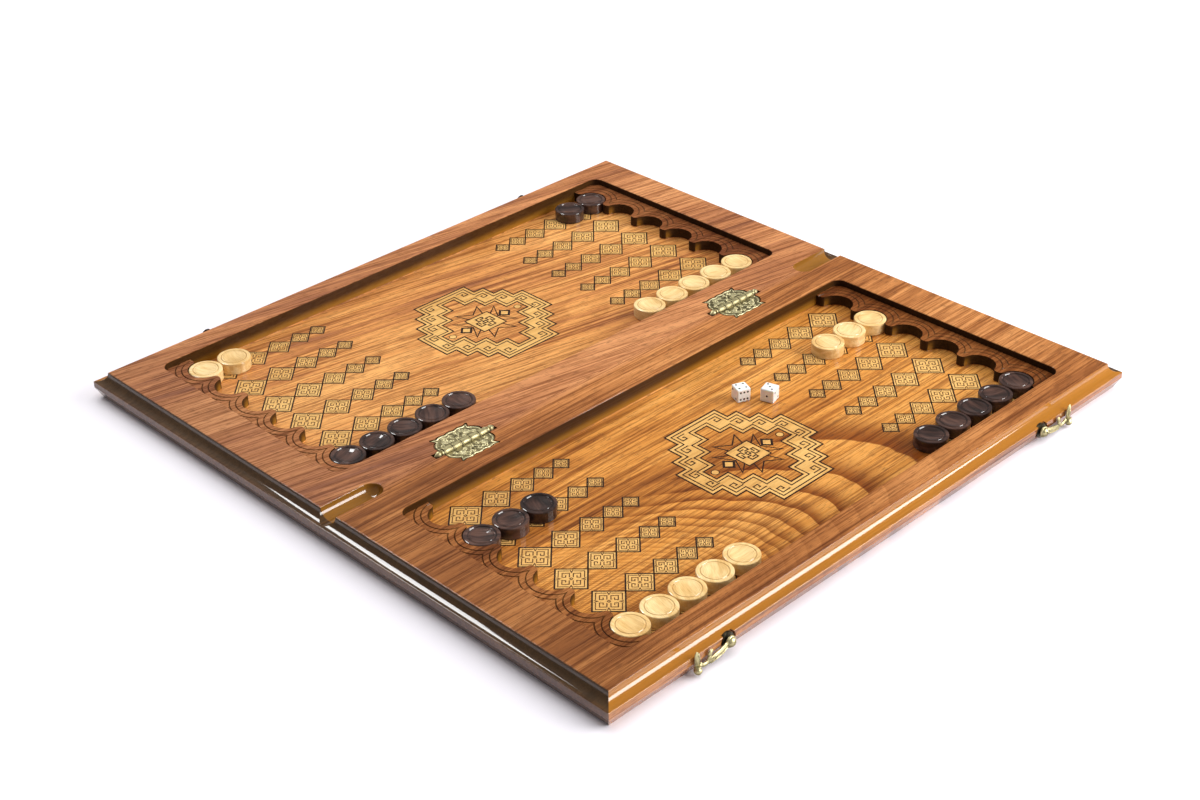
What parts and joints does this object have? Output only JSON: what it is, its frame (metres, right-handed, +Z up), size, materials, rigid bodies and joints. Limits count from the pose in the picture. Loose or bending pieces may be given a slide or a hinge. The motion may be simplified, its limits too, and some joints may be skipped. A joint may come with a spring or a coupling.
{
  "type": "backgammon set",
  "caption": "Folding carved wooden backgammon case, open flat, with nests for checkers at each point, round checkers, dice, inlet brass hinges and side hooks.",
  "frame": {"origin": "on the table, under the middle of the opened case", "axes": "+X across the opened case from the left half to the right half with the hooks; +Y along the seam; +Z up"},
  "size_m": [0.6118, 0.6, 0.0261],
  "materials": {
    "case_wood": "gloss varnish over walnut-brown wood",
    "light_wood": "satin varnish over pale turned wood",
    "dark_wood": "gloss varnish over dark stained turned wood",
    "die_plastic": "polished white",
    "antique_brass": "antiqued, dark in the recesses",
    "dark_metal": "blackened, satin"
  },
  "bodies": {
    "right_half": {"half_right": "case_wood", "hinge_near_right_leaf": "antique_brass", "hinge_far_right_leaf": "antique_brass", "hinge_near_right_screws": "antique_brass", "hinge_far_right_screws": "antique_brass", "hinge_near_pin": "antique_brass", "hinge_far_pin": "antique_brass", "hook_near_base": "antique_brass", "hook_far_base": "antique_brass", "hook_near_pivot_screw": "antique_brass", "hook_far_pivot_screw": "antique_brass"},
    "left_half": {"half_left": "case_wood", "hinge_near_left_leaf": "antique_brass", "hinge_far_left_leaf": "antique_brass", "hinge_near_left_screws": "antique_brass", "hinge_far_left_screws": "antique_brass", "catch_near_plate": "antique_brass", "catch_far_plate": "antique_brass", "catch_near_stud": "dark_metal", "catch_far_stud": "dark_metal"},
    "near_hook": {"hook_near_lever": "antique_brass"},
    "far_hook": {"hook_far_lever": "antique_brass"},
    "light_checker_01": {"light_checker_01": "light_wood"},
    "light_checker_02": {"light_checker_02": "light_wood"},
    "light_checker_03": {"light_checker_03": "light_wood"},
    "light_checker_04": {"light_checker_04": "light_wood"},
    "light_checker_05": {"light_checker_05": "light_wood"},
    "light_checker_06": {"light_checker_06": "light_wood"},
    "light_checker_07": {"light_checker_07": "light_wood"},
    "light_checker_08": {"light_checker_08": "light_wood"},
    "light_checker_09": {"light_checker_09": "light_wood"},
    "light_checker_10": {"light_checker_10": "light_wood"},
    "light_checker_11": {"light_checker_11": "light_wood"},
    "light_checker_12": {"light_checker_12": "light_wood"},
    "light_checker_13": {"light_checker_13": "light_wood"},
    "light_checker_14": {"light_checker_14": "light_wood"},
    "light_checker_15": {"light_checker_15": "light_wood"},
    "dark_checker_01": {"dark_checker_01": "dark_wood"},
    "dark_checker_02": {"dark_checker_02": "dark_wood"},
    "dark_checker_03": {"dark_checker_03": "dark_wood"},
    "dark_checker_04": {"dark_checker_04": "dark_wood"},
    "dark_checker_05": {"dark_checker_05": "dark_wood"},
    "dark_checker_06": {"dark_checker_06": "dark_wood"},
    "dark_checker_07": {"dark_checker_07": "dark_wood"},
    "dark_checker_08": {"dark_checker_08": "dark_wood"},
    "dark_checker_09": {"dark_checker_09": "dark_wood"},
    "dark_checker_10": {"dark_checker_10": "dark_wood"},
    "dark_checker_11": {"dark_checker_11": "dark_wood"},
    "dark_checker_12": {"dark_checker_12": "dark_wood"},
    "dark_checker_13": {"dark_checker_13": "dark_wood"},
    "dark_checker_14": {"dark_checker_14": "dark_wood"},
    "dark_checker_15": {"dark_checker_15": "dark_wood"},
    "die_1": {"die_1": "die_plastic"},
    "die_2": {"die_2": "die_plastic"}
  },
  "joints": [
    {"name": "fold", "type": "hinge", "parent": "right_half", "child": "left_half", "pos_m": [0, 0, 0.02315], "axis": [0, -1, 0], "range_deg": [-180, 0]},
    {"name": "far_hook_swing", "type": "hinge", "parent": "right_half", "child": "far_hook", "pos_m": [0.3015, 0.185, 0.0095], "axis": [-1, 0, 0], "range_deg": [-90, 0]},
    {"name": "near_hook_swing", "type": "hinge", "parent": "right_half", "child": "near_hook", "pos_m": [0.3015, -0.185, 0.0095], "axis": [1, 0, 0], "range_deg": [-90, 0]},
    {"name": "light_checker_01_lift", "type": "slide", "parent": "left_half", "child": "light_checker_01", "axis": [0, 0, 1], "range_m": [0, 0.04]},
    {"name": "light_checker_02_lift", "type": "slide", "parent": "left_half", "child": "light_checker_02", "axis": [0, 0, 1], "range_m": [0, 0.04]},
    {"name": "light_checker_03_lift", "type": "slide", "parent": "left_half", "child": "light_checker_03", "axis": [0, 0, 1], "range_m": [0, 0.04]},
    {"name": "light_checker_04_lift", "type": "slide", "parent": "left_half", "child": "light_checker_04", "axis": [0, 0, 1], "range_m": [0, 0.04]},
    {"name": "light_checker_05_lift", "type": "slide", "parent": "left_half", "child": "light_checker_05", "axis": [0, 0, 1], "range_m": [0, 0.04]},
    {"name": "light_checker_06_lift", "type": "slide", "parent": "left_half", "child": "light_checker_06", "axis": [0, 0, 1], "range_m": [0, 0.04]},
    {"name": "light_checker_07_lift", "type": "slide", "parent": "left_half", "child": "light_checker_07", "axis": [0, 0, 1], "range_m": [0, 0.04]},
    {"name": "light_checker_08_lift", "type": "slide", "parent": "right_half", "child": "light_checker_08", "axis": [0, 0, 1], "range_m": [0, 0.04]},
    {"name": "light_checker_09_lift", "type": "slide", "parent": "right_half", "child": "light_checker_09", "axis": [0, 0, 1], "range_m": [0, 0.04]},
    {"name": "light_checker_10_lift", "type": "slide", "parent": "right_half", "child": "light_checker_10", "axis": [0, 0, 1], "range_m": [0, 0.04]},
    {"name": "light_checker_11_lift", "type": "slide", "parent": "right_half", "child": "light_checker_11", "axis": [0, 0, 1], "range_m": [0, 0.04]},
    {"name": "light_checker_12_lift", "type": "slide", "parent": "right_half", "child": "light_checker_12", "axis": [0, 0, 1], "range_m": [0, 0.04]},
    {"name": "light_checker_13_lift", "type": "slide", "parent": "right_half", "child": "light_checker_13", "axis": [0, 0, 1], "range_m": [0, 0.04]},
    {"name": "light_checker_14_lift", "type": "slide", "parent": "right_half", "child": "light_checker_14", "axis": [0, 0, 1], "range_m": [0, 0.04]},
    {"name": "light_checker_15_lift", "type": "slide", "parent": "right_half", "child": "light_checker_15", "axis": [0, 0, 1], "range_m": [0, 0.04]},
    {"name": "dark_checker_01_lift", "type": "slide", "parent": "left_half", "child": "dark_checker_01", "axis": [0, 0, 1], "range_m": [0, 0.04]},
    {"name": "dark_checker_02_lift", "type": "slide", "parent": "left_half", "child": "dark_checker_02", "axis": [0, 0, 1], "range_m": [0, 0.04]},
    {"name": "dark_checker_03_lift", "type": "slide", "parent": "left_half", "child": "dark_checker_03", "axis": [0, 0, 1], "range_m": [0, 0.04]},
    {"name": "dark_checker_04_lift", "type": "slide", "parent": "left_half", "child": "dark_checker_04", "axis": [0, 0, 1], "range_m": [0, 0.04]},
    {"name": "dark_checker_05_lift", "type": "slide", "parent": "left_half", "child": "dark_checker_05", "axis": [0, 0, 1], "range_m": [0, 0.04]},
    {"name": "dark_checker_06_lift", "type": "slide", "parent": "left_half", "child": "dark_checker_06", "axis": [0, 0, 1], "range_m": [0, 0.04]},
    {"name": "dark_checker_07_lift", "type": "slide", "parent": "left_half", "child": "dark_checker_07", "axis": [0, 0, 1], "range_m": [0, 0.04]},
    {"name": "dark_checker_08_lift", "type": "slide", "parent": "right_half", "child": "dark_checker_08", "axis": [0, 0, 1], "range_m": [0, 0.04]},
    {"name": "dark_checker_09_lift", "type": "slide", "parent": "right_half", "child": "dark_checker_09", "axis": [0, 0, 1], "range_m": [0, 0.04]},
    {"name": "dark_checker_10_lift", "type": "slide", "parent": "right_half", "child": "dark_checker_10", "axis": [0, 0, 1], "range_m": [0, 0.04]},
    {"name": "dark_checker_11_lift", "type": "slide", "parent": "right_half", "child": "dark_checker_11", "axis": [0, 0, 1], "range_m": [0, 0.04]},
    {"name": "dark_checker_12_lift", "type": "slide", "parent": "right_half", "child": "dark_checker_12", "axis": [0, 0, 1], "range_m": [0, 0.04]},
    {"name": "dark_checker_13_lift", "type": "slide", "parent": "right_half", "child": "dark_checker_13", "axis": [0, 0, 1], "range_m": [0, 0.04]},
    {"name": "dark_checker_14_lift", "type": "slide", "parent": "right_half", "child": "dark_checker_14", "axis": [0, 0, 1], "range_m": [0, 0.04]},
    {"name": "dark_checker_15_lift", "type": "slide", "parent": "right_half", "child": "dark_checker_15", "axis": [0, 0, 1], "range_m": [0, 0.04]},
    {"name": "die_1_lift", "type": "slide", "parent": "right_half", "child": "die_1", "axis": [0, 0, 1], "range_m": [0, 0.04]},
    {"name": "die_2_lift", "type": "slide", "parent": "right_half", "child": "die_2", "axis": [0, 0, 1], "range_m": [0, 0.04]}
  ]
}
